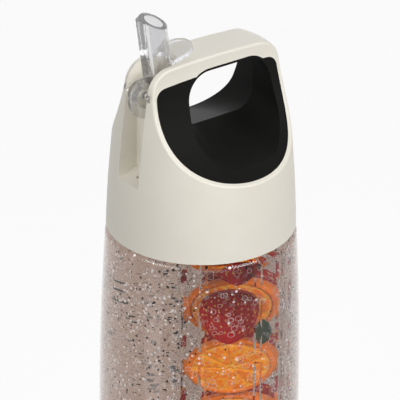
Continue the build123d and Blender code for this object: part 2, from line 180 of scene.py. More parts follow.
def turned(name: str, profile: list[Pair], steps: int) -> Piece:
    """Draws a profile from one point and spins it round the Z axis into a closed body.

    Args:
        name: the new object's name.
        profile: points of radius and height, the first and last on the axis.
        steps: how many faces go round.

    Returns:
        The turned object.
    """
    points = [Vector((radius, 0, height)) for radius, height in profile]
    piece = drawn(bpy.ops.mesh.primitive_plane_add, size=MM)
    piece.name = name
    with editing(piece):
        bpy.ops.mesh.merge(type="CENTER")
        bpy.ops.transform.translate(value=points[0])
        for here, point in zip(points, points[1:]):
            bpy.ops.mesh.extrude_vertices_move(TRANSFORM_OT_translate={"value": point - here})
        bpy.ops.mesh.select_all(action="SELECT")
        bpy.ops.mesh.spin(steps=steps, angle=FULL_TURN, center=(0, 0, 0), axis=UP)
    close_and_turn_out(piece)
    return piece


def arc(centre: Pair, radius: float, start: float, end: float, count: int) -> list[Pair]:
    """Points on an arc of a turned profile.

    Args:
        centre: its radius and height.
        radius: the arc's radius.
        start: the first angle, in degrees from the outward direction.
        end: the last angle.
        count: how many points.

    Returns:
        Points of radius and height.
    """
    angles = np.radians(np.linspace(start, end, count))
    return [(centre[0] + radius * math.cos(a), centre[1] + radius * math.sin(a)) for a in angles]


def copied(name: str, pattern: Piece, places: list[Matrix]) -> Piece:
    """Makes one object of many placed copies of a small mesh, and takes the pattern away.

    Args:
        name: the new object's name.
        pattern: the object that is repeated, all of one material.
        places: where each copy goes.

    Returns:
        The new object.
    """
    corners = np.array([(*vertex.co, 1.0) for vertex in pattern.data.vertices])
    placed = np.concatenate([corners @ np.array(place).T for place in places])[:, :3]
    faces = [
        tuple(corner + k * len(corners) for corner in polygon.vertices)
        for k in range(len(places))
        for polygon in pattern.data.polygons
    ]
    made = bpy.data.meshes.new(name)
    made.from_pydata(placed, [], faces)
    for material in pattern.data.materials:
        made.materials.append(material)
    bpy.data.objects.remove(pattern)
    piece = bpy.data.objects.new(name, made)
    bpy.context.scene.collection.objects.link(piece)
    return piece


def ready(
    piece: Piece,
    body: Body,
    smooth: float = 40.0,
    instead_of: tuple[str, ...] = (),
) -> None:
    """Finishes a new piece: its shading, its body and the node it stands for.

    Args:
        piece: the new object.
        body: what it rides on.
        smooth: edges flatter than this many degrees are shaded smooth.
        instead_of: CAD nodes that it replaces.
    """
    make_active(piece)
    bpy.ops.object.transform_apply(location=True, rotation=True, scale=True)
    bpy.ops.object.shade_smooth_by_angle(angle=math.radians(smooth))
    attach(piece, body.value)
    if instead_of:
        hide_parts(*instead_of)
    log.info("%s: %d faces, rides on %s", piece.name, len(piece.data.polygons), body.value)


# Finishes


class Graph:
    """The shader nodes of one material or of the world; sizes of patterns are millimetres."""

    def __init__(self, tree: bpy.types.NodeTree) -> None:
        """Starts with an empty node tree."""
        self.tree = tree
        tree.nodes.clear()

    def add(
        self, kind: str, sockets: dict[str | int, object] | None = None, **settings: object
    ) -> bpy.types.Node:
        """Adds one shader node with its settings, values and links.

        Args:
            kind: the node's type, without the ShaderNode in front.
            sockets: values, hex colours or output sockets, by the input's name or number.
            settings: the node's own properties.

        Returns:
            The new node.
        """
        made = self.tree.nodes.new("ShaderNode" + kind)
        for name, value in settings.items():
            setattr(made, name, value)
        for name, value in (sockets or {}).items():
            if isinstance(value, Socket):
                self.tree.links.new(value, made.inputs[name])
                continue
            made.inputs[name].default_value = linear(value) if isinstance(value, str) else value
        return made

    def first(self, kind: str, sockets: dict[str | int, object], **settings: object) -> Socket:
        """Adds one node and gives its first output."""
        return self.add(kind, sockets, **settings).outputs[0]

    def place(self) -> Socket:
        """Object coordinates, in metres in the frame of the whole bottle."""
        return self.add("TexCoord").outputs["Object"]

    def noise(self, size: float, detail: float) -> Socket:
        """Soft noise whose blots have a real size."""
        sockets = {"Vector": self.place(), "Scale": 1 / (size * MM), "Detail": detail}
        return self.first("TexNoise", sockets)

    def cells(self, size: float, where: Socket | None = None) -> bpy.types.NodeOutputs:
        """Cells of a real size: the outputs with their distances and colours."""
        sockets = {"Vector": where or self.place(), "Scale": 1 / (size * MM)}
        return self.add("TexVoronoi", sockets).outputs

    def figure(self, operation: str, first: Socket, second: Socket | float = 0.0) -> Socket:
        """One step of arithmetic."""
        return self.first("Math", {0: first, 1: second}, operation=operation)

    def ranged(self, value: Socket, ends: Pair, source: Pair = (0.0, 1.0)) -> Socket:
        """Stretches the source's range to two other ends, and goes no further.

        Args:
            value: the number that is stretched.
            ends: what the source's two ends become.
            source: the value's own range.

        Returns:
            The stretched number.
        """
        sockets = {0: value, 1: source[0], 2: source[1], 3: ends[0], 4: ends[1]}
        return self.first("MapRange", sockets)

    def mixed(self, share: Socket, first: str | Socket, second: str | Socket) -> Socket:
        """Goes from one colour to another, each a hex colour or a socket, as the share grows."""
        return self.add("Mix", {0: share, 6: first, 7: second}, data_type="RGBA").outputs[2]

    def covered(self, share: Socket | float, below: Socket, above: Socket) -> Socket:
        """Covers a share of one shader with another."""
        return self.first("MixShader", {0: share, 1: below, 2: above})

    def bump(self, height: Socket, depth: float, strength: float) -> Socket:
        """A bump of a real depth."""
        sockets = {"Strength": strength, "Distance": depth * MM, "Height": height}
        return self.first("Bump", sockets)

    def clear(self, colour: str | Socket) -> Socket:
        """A surface seen straight through."""
        return self.first("BsdfTransparent", {"Color": colour})

    def backfacing(self) -> Socket:
        """1 on the far side of a clear piece."""
        return self.add("NewGeometry").outputs["Backfacing"]

    def lamps_through(self, seen: Socket) -> Socket:
        """Lets lamps and the light between surfaces straight through what is seen."""
        path = self.add("LightPath").outputs
        light = self.figure("MAXIMUM", path["Is Shadow Ray"], path["Is Diffuse Ray"])
        return self.covered(light, seen, self.clear("FFFFFF"))

    def backdrop(self) -> Socket:
        """1 for rays that show the backdrop: to the camera, in a mirror or through glass."""
        path = self.add("LightPath").outputs
        first = self.figure("MAXIMUM", path["Is Camera Ray"], path["Is Glossy Ray"])
        return self.figure("MAXIMUM", first, path["Is Transmission Ray"])


@dataclass(frozen=True)
class Finish:
    """A material, named for what the real one is and how its surface was made."""

    name: str

    def material(self) -> bpy.types.Material:
        """The Blender material, made on its first use."""
        made = bpy.data.materials.get(self.name)
        if made is None:
            made = bpy.data.materials.new(self.name)
            made.use_nodes = True
            graph = Graph(made.node_tree)
            graph.add("OutputMaterial", {"Surface": self.surface(graph)})
        return made

    def surface(self, graph: Graph) -> Socket:
        """The shader that the surface shows."""
        raise NotImplementedError


@dataclass(frozen=True)
class ClearFinish(Finish):
    """A finish that lamps and the light between surfaces pass as if it weren't there."""


def give(piece: Piece, *finishes: Finish) -> None:
    """Gives a piece these finishes and no others, in this order."""
    piece.data.materials.clear()
    for finish in finishes:
        piece.data.materials.append(finish.material())
    lit = not isinstance(finishes[0], ClearFinish)
    piece.visible_shadow = piece.visible_diffuse = lit


def give_nodes(finish: Finish, *names: str) -> None:
    """Gives CAD nodes a finish."""
    for name in names:
        give(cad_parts[name], finish)


@dataclass(frozen=True)
class MouldedPlastic(Finish):
    """Injection-moulded plastic with an eroded satin skin: even colour, a soft wide highlight."""

    colour: str = "DED9CC"
    pale: str = "E6E2D7"
    roughness: float = 0.42
    smoother: float = 0.05
    rougher: float = 0.07
    shine: float = 0.4
    cloud: float = 16.0
    grain: float = 0.7
    grain_depth: float = 0.012

    def surface(self, graph: Graph) -> Socket:
        """Faint clouding of the colour, with a grain drawn coarser than the real 0.05 mm."""
        cloud = graph.noise(self.cloud, detail=3)
        grain = graph.noise(self.grain, detail=2)
        rough = (self.roughness - self.smoother, self.roughness + self.rougher)
        sockets = {
            "Base Color": graph.mixed(cloud, self.colour, self.pale),
            "Roughness": graph.ranged(grain, rough),
            "Specular IOR Level": self.shine,
            "Normal": graph.bump(grain, self.grain_depth, strength=0.5),
            "IOR": 1.5,
        }
        return graph.first("BsdfPrincipled", sockets)


@dataclass(frozen=True)
class ClearPlastic(ClearFinish):
    """Clear copolyester, blow- or injection-moulded and glossy: bright edges, bent background."""

    tint: str = "F6F7F8"
    ior: float = 1.5
    mirror: str = "FFFFFF"
    ripple: float = 14.0
    ripple_depth: float = 0.05
    gloss: float = 0.0
    gloss_roughness: float = 0.14
    straight_out: float = 0.0

    def surface(self, graph: Graph) -> Socket:
        """Glass with a moulding ripple; a share of what leaves its far side isn't bent."""
        ripple = graph.noise(self.ripple, detail=1)
        sockets = {
            "Base Color": self.tint,
            "Roughness": 0.0,
            "IOR": self.ior,
            "Specular Tint": self.mirror,
            "Transmission Weight": 1.0,
            "Coat Weight": self.gloss,
            "Coat Roughness": self.gloss_roughness,
            "Normal": graph.bump(ripple, self.ripple_depth, strength=0.3),
        }
        seen = graph.first("BsdfPrincipled", sockets)
        if self.straight_out:
            share = graph.figure("MULTIPLY", graph.backfacing(), self.straight_out)
            seen = graph.covered(share, seen, graph.clear(self.tint))
        return graph.lamps_through(seen)


@dataclass(frozen=True)
class WettedWall(ClearFinish):
    """The inside of the wall where water touches it, which neither mirrors nor bends light."""

    tint: str = "FBFAFA"

    def surface(self, graph: Graph) -> Socket:
        """Seen straight through."""
        return graph.clear(self.tint)


@dataclass(frozen=True)
class Flecks:
    """One pattern of round flecks or rings in water.

    A cell's width is in millimetres, the share of cells that hold a fleck is at most 1, the
    shift moves the pattern by metres, and hollow is the share of a fleck's radius left clear.
    """

    cell: float
    share: float
    shift: float = 0.0
    hollow: float = 0.0
    smallest: float = 0.13
    largest: float = 0.36


@dataclass(frozen=True)
class Water(ClearFinish):
    """Carbonated water tinted by the fruit and flecked by bubbles too small to model, with painted
    shade in its dark flecks and partly in its darker far side.
    """

    tint: str = "FAF6F4"
    # darker far side: partly the water's own colour through its depth, partly painted shade of dark
    # surroundings seen through it
    deep_tint_and_painted_shade: str = "B09A8C"
    # painted shade: the colour seen through the dark flecks, for the dark sides of bubbles
    bubble_painted_shade: str = "2E2824"
    gleam: str = "F4F0EE"
    gleam_roughness: float = 0.4
    gleam_share: float = 0.6
    # the dark flecks are painted shade for the dark sides of bubbles
    dark: Flecks = Flecks(cell=1.7, share=0.8, shift=0.31)
    pale: Flecks = Flecks(cell=1.8, share=1.0)
    rings: Flecks = Flecks(cell=2.6, share=0.6, shift=0.17, hollow=0.76)
    swarm: float = 9.0
    swarm_edges: Pair = (0.35, 0.65)
    swarm_least: float = 0.25
    basket_side: float = -0.007
    basket_reach: Pair = (0.017, 0.027)
    basket_least: float = 0.2

    def mask(self, graph: Graph, flecks: Flecks) -> Socket:
        """1 inside the flecks of one pattern, which are of many sizes, one to a cell."""
        sockets = {"Vector": graph.place(), "Location": (flecks.shift,) * 3}
        moved = graph.first("Mapping", sockets)
        cells = graph.cells(flecks.cell, moved)
        chance = graph.add("SeparateColor", {0: cells["Color"]}).outputs
        reach = graph.ranged(chance["Red"], (flecks.smallest, flecks.largest))
        near = graph.figure("DIVIDE", cells["Distance"], reach)
        rim = graph.figure("LESS_THAN", near, 1.0)
        middle = graph.figure("LESS_THAN", near, flecks.hollow)
        crowd = graph.figure("MULTIPLY", self.crowding(graph), flecks.share)
        held = graph.figure("LESS_THAN", chance["Green"], crowd)
        return graph.figure("MULTIPLY", graph.figure("SUBTRACT", rim, middle), held)

    def crowding(self, graph: Graph) -> Socket:
        """How crowded the flecks are: in swarms, and fewer in front of the basket."""
        across = graph.add("SeparateXYZ", {0: graph.place()}).outputs["X"]
        away = graph.figure("ABSOLUTE", graph.figure("SUBTRACT", across, self.basket_side))
        side = graph.ranged(away, (self.basket_least, 1.0), self.basket_reach)
        swarms = graph.noise(self.swarm, detail=2)
        swarm = graph.ranged(swarms, (self.swarm_least, 1.0), self.swarm_edges)
        return graph.figure("MULTIPLY", side, swarm)

    def surface(self, graph: Graph) -> Socket:
        """A tinted skin with dark flecks of painted shade that are seen through, pale ones and
        rings.
        """
        # the far side is tinted darker: partly the water's colour, partly painted shade
        depth = graph.mixed(graph.backfacing(), self.tint, self.deep_tint_and_painted_shade)
        # painted shade: the dark flecks darken what is seen through them
        colour = graph.mixed(self.mask(graph, self.dark), depth, self.bubble_painted_shade)
        sockets = {"Color": self.gleam, "Roughness": self.gleam_roughness}
        lit = graph.first("BsdfAnisotropic", sockets)
        masks = [self.mask(graph, flecks) for flecks in (self.pale, self.rings)]
        share = graph.figure("MULTIPLY", graph.figure("MAXIMUM", *masks), self.gleam_share)
        return graph.lamps_through(graph.covered(share, graph.clear(colour), lit))


@dataclass(frozen=True)
class Veil(ClearFinish):
    """A clear surface under a pale diffuse layer that thickens from its middle towards its outline.

    On the straw the layer is frosting; on a bubble it is a painted reflection of its rim. The edges
    are the shares of facing away between which the layer goes from thin to thick.
    """

    # on a bubble this pale colour is a painted reflection of its bright rim
    frosting_and_painted_ring: str = "F4F1EF"
    tint: str = "FFFFFF"
    thin: float = 0.0
    thick: float = 0.85
    blend: float = 0.5
    edges: Pair = (0.42, 0.72)

    def surface(self, graph: Graph) -> Socket:
        """Seen through the pale layer, which is lit like paper."""
        facing = graph.add("LayerWeight", {"Blend": self.blend}).outputs["Facing"]
        share = graph.ranged(facing, (self.thin, self.thick), self.edges)
        # a lit diffuse layer: frosting on the straw, a painted reflection on a bubble
        frosting_and_painted_ring = graph.first("BsdfDiffuse", {"Color": self.frosting_and_painted_ring})
        return graph.covered(share, graph.clear(self.tint), frosting_and_painted_ring)


@dataclass(frozen=True)
class GasBubble(Veil):
    """A bubble of gas in water: a clear middle inside a bright ring where it mirrors, painted as a
    pale diffuse layer: a painted reflection.
    """

    def surface(self, graph: Graph) -> Socket:
        """The painted reflection ring, which lamps pass."""
        return graph.lamps_through(super().surface(graph))


@dataclass(frozen=True)
class Fruit(Finish):
    """Fruit under water, whose gloss all but goes: its index is nearly the water's."""

    colour: str
    deep: str
    roughness: float = 0.3
    index_in_water: float = 1.08

    def wet(self, graph: Graph, colour: Socket, bump: Socket) -> Socket:
        """The surface of this colour and relief.

        Args:
            graph: the material's nodes.
            colour: the colour all over it.
            bump: its relief.

        Returns:
            The shader.
        """
        sockets = {
            "Base Color": colour,
            "Roughness": self.roughness,
            "Normal": bump,
            "IOR": self.index_in_water,
        }
        return graph.first("BsdfPrincipled", sockets)


@dataclass(frozen=True)
class FruitSkin(Fruit):
    """The outside of a fruit: waxed, blotched in colour and finely pored."""

    pore: float = 1.1
    pore_depth: float = 0.12
    blotch: float = 6.0
    roughness: float = 0.28

    def surface(self, graph: Graph) -> Socket:
        """Blotched colour with small round pores."""
        blotch = graph.noise(self.blotch, detail=4)
        colour = graph.mixed(blotch, self.deep, self.colour)
        pores = graph.cells(self.pore)["Distance"]
        return self.wet(graph, colour, graph.bump(pores, self.pore_depth, strength=0.6))


@dataclass(frozen=True)
class FruitPulp(Fruit):
    """Cut juicy pulp: long juice sacs of changing colour, with paler walls between them."""

    pale: str = "FFAE1E"
    sac: float = 1.6
    sac_depth: float = 0.25
    patch: float = 4.0
    wall: Pair = (0.35, 0.75)
    wall_share: float = 0.8

    def surface(self, graph: Graph) -> Socket:
        """Cells for the sacs, over slow changes of colour."""
        sacs = graph.cells(self.sac)["Distance"]
        slow = graph.noise(self.patch * self.sac, detail=3)
        ground = graph.mixed(slow, self.deep, self.colour)
        wall = graph.ranged(sacs, (0.0, self.wall_share), self.wall)
        colour = graph.mixed(wall, ground, self.pale)
        return self.wet(graph, colour, graph.bump(sacs, self.sac_depth, strength=0.5))


@dataclass(frozen=True)
class Paper(Finish):
    """Matt white background paper, lifted to white where it is seen so that it has no edge."""

    colour: str = "FAFAFA"
    lift: float = 0.9

    def surface(self, graph: Graph) -> Socket:
        """Pale paper that keeps the bottle's shadow under a white glow."""
        paper = graph.first("BsdfDiffuse", {"Color": self.colour})
        glow = graph.first("Emission", {"Color": "FFFFFF", "Strength": graph.backdrop()})
        return graph.covered(self.lift, paper, glow)


# The lid's plastic is a moulded ABS blend, ivory and satin
IVORY_ABS = MouldedPlastic("moulded_ivory_abs")
IVORY_INSERT = MouldedPlastic(
    "moulded_ivory_polypropylene", colour="D9D5C9", pale="E2DED3", roughness=0.36
)
# Thermoplastic rubber moulded over the lid: near black, matt, lit softly
BLACK_RUBBER = MouldedPlastic(
    "moulded_black_soft_touch_rubber",
    colour="0C0C0B",
    pale="121210",
    roughness=0.55,
    shine=0.07,
    grain=0.5,
    grain_depth=0.02,
)
# Moulded silicone seals: a milky, even grey without gloss
SILICONE = MouldedPlastic(
    "moulded_translucent_silicone", colour="D8D6D0", pale="E4E2DC", roughness=0.5
)
# Copolyester and water bend light nearly alike, so the body's outside bends it for both
CLEAR_BODY = ClearPlastic(
    "blown_clear_copolyester",
    ior=1.36,
    mirror="505050",
    ripple=40.0,
    ripple_depth=0.02,
    gloss=0.7,
    straight_out=1.0,
)
WET_BODY = WettedWall("wetted_clear_copolyester")
# Thick and in air, the spout bends what is behind it into dark and bright streaks
CLEAR_SPOUT = ClearPlastic(
    "moulded_clear_copolyester", tint="E4E4E5", ior=1.48, ripple=7.0, straight_out=0.1
)
# Under water the basket's plastic bends light only a little more than what is round it
CLEAR_BASKET = ClearPlastic("moulded_clear_basket", ior=1.12, ripple_depth=0.02)
# An extruded drinking straw, thin and slightly frosted: a smooth pale band under water
CLEAR_STRAW = Veil(
    "extruded_frosted_straw",
    frosting_and_painted_ring="E8DAD2",
    tint="FFFDFC",
    thin=0.08,
    thick=0.3,
    blend=0.3,
    edges=(0.0, 1.0),
)
SPARKLING_WATER = Water("sparkling_water")
# the bubble's bright rim is a painted reflection
BUBBLE = GasBubble("gas_bubble")
# Rinds are waxed and pored, pith is pale and fine, pulp is coarse and bright
ORANGE_RIND = FruitSkin("waxed_orange_rind", colour="FA8A0C", deep="E06404")
ORANGE_PITH = FruitPulp("cut_orange_pith", colour="FFB020", pale="FFC850", deep="FF960E", sac=1.0)
ORANGE_PULP = FruitPulp("cut_orange_pulp", colour="FF8C00", deep="F26200")
LIME_RIND = FruitSkin("waxed_lime_rind", colour="6F8F22", deep="3E6512")
LIME_PITH = FruitPulp("cut_lime_pith", colour="DDE3A8", pale="ECEFC6", deep="C6D084", sac=1.0)
LIME_PULP = FruitPulp("cut_lime_pulp", colour="A9B94A", pale="CDD57C", deep="7F9530")
# The berry is a deep red outside with yellow seeds, and paler, streaked flesh where cut
BERRY_SKIN = FruitSkin(
    "ripe_strawberry_skin", colour="B80E10", deep="860608", pore=1.8, pore_depth=0.3
)
BERRY_FLESH = FruitPulp(
    "cut_strawberry_flesh", colour="DC3C30", pale="F0988A", deep="B81C1A", sac=2.4
)
BERRY_SEED = FruitSkin("strawberry_seed", colour="D9B45C", deep="B3832E", pore=0.5)
MINT_BLADE = FruitSkin(
    "wet_mint_leaf", colour="4C5B42", deep="2A3628", pore=1.6, pore_depth=0.2
)


# Sub-assemblies


@dataclass
class Thread:
    """A raised screw thread on a neck or in a skirt."""

    name: str
    wall: float
    side: int
    start_height: float
    turns: float = 1.9
    pitch: float = 4.8 * MM
    ridge: float = 1.1 * MM
    sunk: float = 0.05 * MM
    root_width: float = 2.0 * MM
    crest_width: float = 1.1 * MM
    steps_per_turn: int = 72
    lead_in_steps: int = 10
    lead_in_height: float = 0.04

    def build(self) -> Piece:
        """Sweeps the ridge's section along its screw line and fades both ends into the wall.

        The side is 1 for a ridge that points outwards from the axis and -1 for one inwards.

        Returns:
            The thread as a closed mesh.
        """
        root, crest = self.wall - self.side * self.sunk, self.wall + self.side * self.ridge
        middle = (root + crest) / 2
        ridge = drawn(
            bpy.ops.mesh.primitive_plane_add,
            size=1.0,
            location=(middle, 0, self.start_height),
            rotation=(math.pi / 2, 0, 0),
        )
        ridge.name = self.name
        bpy.ops.object.transform_apply(location=True, rotation=True, scale=True)
        for corner in ridge.data.vertices:
            at_crest = (corner.co.x > middle) == (crest > root)
            width = self.crest_width if at_crest else self.root_width
            above = 1 if corner.co.z > self.start_height else -1
            corner.co.x = crest if at_crest else root
            corner.co.z = self.start_height + above * width / 2
        with editing(ridge):
            bpy.ops.mesh.select_all(action="SELECT")
            bpy.ops.mesh.delete(type="ONLY_FACE")
        corners = len(ridge.data.vertices)
        steps = round(self.turns * self.steps_per_turn)
        apply_modifier(
            ridge,
            "SCREW",
            angle=self.turns * FULL_TURN,
            screw_offset=self.turns * self.pitch,
            steps=steps,
            render_steps=steps,
            use_merge_vertices=False,
        )
        for vertex in ridge.data.vertices:
            ring = vertex.index // corners
            full = min(1, ring / self.lead_in_steps, (steps - ring) / self.lead_in_steps)
            flat = Vector((vertex.co.x, vertex.co.y, 0))
            reach = root + (flat.length - root) * max(full, self.lead_in_height)
            vertex.co = flat.normalized() * reach + UP * vertex.co.z
        close_and_turn_out(ridge, hole_sides=corners)
        return ridge


@dataclass
class Bottle:
    """The clear body with its neck thread, the water in it and the bubbles on its wall."""

    wall: float = 2.6 * MM
    water_gap: float = 0.12 * MM
    floor_thickness: float = 6.0 * MM
    base_round: float = 7.0 * MM
    widest_height: float = 75.0 * MM
    base_inner: float = 40.8 * MM
    shoulder_inner: float = 38.6 * MM
    shoulder_height: float = 177.4 * MM
    shoulder_round: float = 2.0 * MM
    neck: float = 33.2 * MM
    neck_bore: float = 30.6 * MM
    thread_height: float = 186.0 * MM
    fill_height: float = 194.0 * MM
    meniscus: float = 1.2 * MM
    faces_round: int = 128
    wall_rows: int = 24

    def __post_init__(self) -> None:
        """Fits the wall's inner radius to three known points, at the base, waist and shoulder."""
        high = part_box("bottle_body")[1]
        heights = (self.floor_thickness + self.base_round, self.widest_height, self.shoulder_height)
        radii = (self.base_inner, high.x - self.wall, self.shoulder_inner)
        self.wall_curve = np.polyfit(heights, radii, 2)

    def build(self) -> None:
        """Models the shell, its thread and its water."""
        self.add_shell()
        thread = Thread("neck_thread", self.neck, 1, self.thread_height).build()
        give(thread, CLEAR_BODY)
        ready(thread, Body.BOTTLE)
        self.add_water()

    def add_shell(self) -> None:
        """The blown shell: its solid, merged, with the wall that water touches set apart."""
        shell = bpy.data.objects.new("blown_body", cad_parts["bottle_body"].data.copy())
        bpy.context.scene.collection.objects.link(shell)
        make_active(shell)
        bpy.ops.mesh.customdata_custom_splitnormals_clear()
        close_and_turn_out(shell)
        give(shell, CLEAR_BODY, WET_BODY)
        for face in shell.data.polygons:
            face.material_index = int(self.is_wetted(face.center, face.normal))
        ready(shell, Body.BOTTLE, 35, ("bottle_body",))

    def is_wetted(self, centre: Vector, normal: Vector) -> bool:
        """Whether a face of the shell is inside it and under the water's surface.

        Args:
            centre: the face's middle.
            normal: its outward direction, out of the plastic.

        Returns:
            True where water touches it.
        """
        inwards, steep = -0.2, 0.5
        outward = Vector((centre.x, centre.y, 0)).normalized()
        on_wall = normal.dot(outward) < inwards
        on_floor = normal.z > steep and centre.z < self.floor_thickness + self.base_round
        on_shoulder = normal.z < -steep and centre.z > self.widest_height
        return centre.z < self.fill_height and (on_wall or on_floor or on_shoulder)

    def inner_radius(self, height: float) -> float:
        """The wall's inner radius at a height between the base round and the shoulder."""
        return float(np.polyval(self.wall_curve, height))

    def add_water(self) -> None:
        """The water: a turned body just inside the wall, up into the neck."""
        gap, bend, meniscus = self.water_gap, self.shoulder_round, self.meniscus
        base, shoulder, surface = self.floor_thickness, self.shoulder_height, self.fill_height
        heights = np.linspace(base + self.base_round, shoulder - bend, self.wall_rows)
        inner, corner = self.neck_bore - gap, self.base_inner - self.base_round
        profile = [
            (0, base + gap),
            *arc((corner, heights[0]), self.base_round - gap, -90, 0, 8),
            *[(self.inner_radius(height) - gap, height) for height in heights[1:]],
            *arc((self.shoulder_inner - bend, heights[-1]), bend - gap, 0, 90, 5),
            (inner, shoulder - gap),
            (inner, surface + meniscus),
            (inner - meniscus, surface + meniscus / 4),
            (self.neck_bore - 4 * meniscus, surface),
            (0, surface),
        ]
        water = turned("sparkling_water", profile, self.faces_round)
        give(water, SPARKLING_WATER)
        ready(water, Body.BOTTLE, smooth=50)


@dataclass
class Fizz:
    """Bubbles of gas that cling to the wall, the basket and the straw."""

    bottle: Bottle
    smallest: float = 0.5 * MM
    largest: float = 1.3 * MM
    wall_heights: Pair = (14 * MM, 174 * MM)
    basket_radius: float = 16.0 * MM
    basket_top: float = 22 * MM
    straw_top: float = 30 * MM
    straw_size: float = 0.8
    touching: float = 0.9
    wall_count: int = 1500
    basket_count: int = 1000
    straw_count: int = 90
    seed: int = 7

    def build(self) -> None:
        """Copies one bubble to each surface that bubbles cling to, clear of the rings above."""
        self.chance = random.Random(self.seed)
        wall = self.scattered(self.wall_count, 0, self.wall_heights, self.on_wall)
        self.cling("wall_bubbles", wall, Body.BOTTLE)
        low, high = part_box("infuser_basket")
        basket = self.scattered(
            self.basket_count,
            low.x + self.basket_radius,
            (low.z, high.z - self.basket_top),
            lambda height, size: self.basket_radius + size * self.touching,
        )
        self.cling("basket_bubbles", basket, Body.INFUSER)
        low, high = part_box("straw")
        straw = self.scattered(
            self.straw_count,
            (high.x + low.x) / 2,
            (low.z, high.z - self.straw_top),
            lambda height, size: (high.x - low.x) / 2 + size * self.touching,
            self.straw_size,
        )
        self.cling("straw_bubbles", straw, Body.LID)

    def on_wall(self, height: float, size: float) -> float:
        """How far from the axis a bubble of this size touches the wall at a height."""
        return self.bottle.inner_radius(height) - 2 * self.bottle.water_gap - size

    def scattered(
        self,
        count: int,
        axis_x: float,
        heights: Pair,
        reach: Callable[[float, float], float],
        scale: float = 1.0,
    ) -> list[Matrix]:
        """Scatters bubbles round an upright axis, many of them small and few large.

        Args:
            count: how many.
            axis_x: the axis's place along X.
            heights: the lowest and highest.
            reach: a bubble's distance from the axis, by its height and radius.
            scale: how large they are against those on the wall.

        Returns:
            Each bubble's place and size.
        """
        places = []
        for _ in range(count):
            spread = (self.largest - self.smallest) * self.chance.random() ** 3
            size = (self.smallest + spread) * scale
            height = self.chance.uniform(*heights)
            turn, radius = self.chance.uniform(0, FULL_TURN), reach(height, size)
            centre = (axis_x + radius * math.cos(turn), radius * math.sin(turn), height)
            places.append(Matrix.LocRotScale(Vector(centre), None, (size, size, size)))
        return places

    def cling(self, name: str, places: list[Matrix], body: Body) -> None:
        """Models one body's bubbles.

        Args:
            name: the new piece's name.
            places: where the bubbles go.
            body: what they ride on.
        """
        bubble = drawn(bpy.ops.mesh.primitive_uv_sphere_add, segments=10, ring_count=6, radius=1.0)
        cluster = copied(name, bubble, places)
        give(cluster, BUBBLE)
        ready(cluster, body, smooth=180)


@dataclass
class Lid:
    """The ivory lid with its grip liners, its insert, its seals, the straw and the spout."""

    skirt_bore: float = 34.85 * MM
    thread_height: float = 188.4 * MM

    def build(self) -> None:
        """Dresses the lid's and spout's solids and adds the thread inside its skirt."""
        give_nodes(IVORY_ABS, "lid_shell")
        give_nodes(BLACK_RUBBER, "grip_liner_front", "grip_liner_back")
        give_nodes(IVORY_INSERT, "lid_insert")
        give_nodes(SILICONE, "neck_gasket", "vent_valve", "riser_tube", "hub_seal", "straw_sleeve")
        give_nodes(CLEAR_STRAW, "straw")
        give_nodes(CLEAR_SPOUT, "spout")
        thread = Thread("lid_thread", self.skirt_bore, -1, self.thread_height).build()
        give(thread, IVORY_INSERT)
        ready(thread, Body.LID)


@dataclass
class Place:
    """Where a piece of fruit stands: its spans across, towards the front left, and up.

    These three directions are left-handed, so a piece put by them is mirrored and its faces
    point inwards, which opaque fruit doesn't show in a render.
    """

    node: str
    turn: float = math.radians(38)

    def __post_init__(self) -> None:
        """Measures the node along the fruit's own directions."""
        self.across = Vector((math.cos(self.turn), -math.sin(self.turn), 0))
        self.facing = Vector((-math.sin(self.turn), -math.cos(self.turn), 0))
        points = [vertex.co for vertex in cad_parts[self.node].data.vertices]
        reaches = [[point.dot(way) for point in points] for way in (self.across, self.facing, UP)]
        self.spans = [(min(reach), max(reach)) for reach in reaches]
        self.sizes = Vector([high - low for low, high in self.spans])
        self.middle = [(low + high) / 2 for low, high in self.spans]
        self.leans_front = sum(reaches[1]) / len(points) < self.middle[1]

    def matrix(self, depth: float | None = None, turned_back: bool = False) -> Matrix:
        """The place of a piece whose X goes across, Y to the front and Z up.

        Args:
            depth: along the facing direction, or nothing for the node's middle.
            turned_back: the piece faces the other way.

        Returns:
            Its place in the frame.
        """
        side, middle_depth, height = self.middle
        depth = middle_depth if depth is None else depth
        sign = -1 if turned_back else 1
        middle = self.across * side + self.facing * depth + UP * height
        turn = Matrix((self.across * sign, self.facing * sign, UP)).transposed()
        return Matrix.Translation(middle) @ turn.to_4x4()

    def fill(self, piece: Piece, name: str, matrix: Matrix, smooth: float = 40) -> None:
        """Puts a modelled piece in the node's place and in its stead.

        Args:
            piece: modelled round the origin.
            name: the new piece's name.
            matrix: where it goes.
            smooth: edges flatter than this many degrees are shaded smooth.
        """
        piece.name = name
        piece.data.transform(matrix)
        ready(piece, Body.INFUSER, smooth, (self.node,))


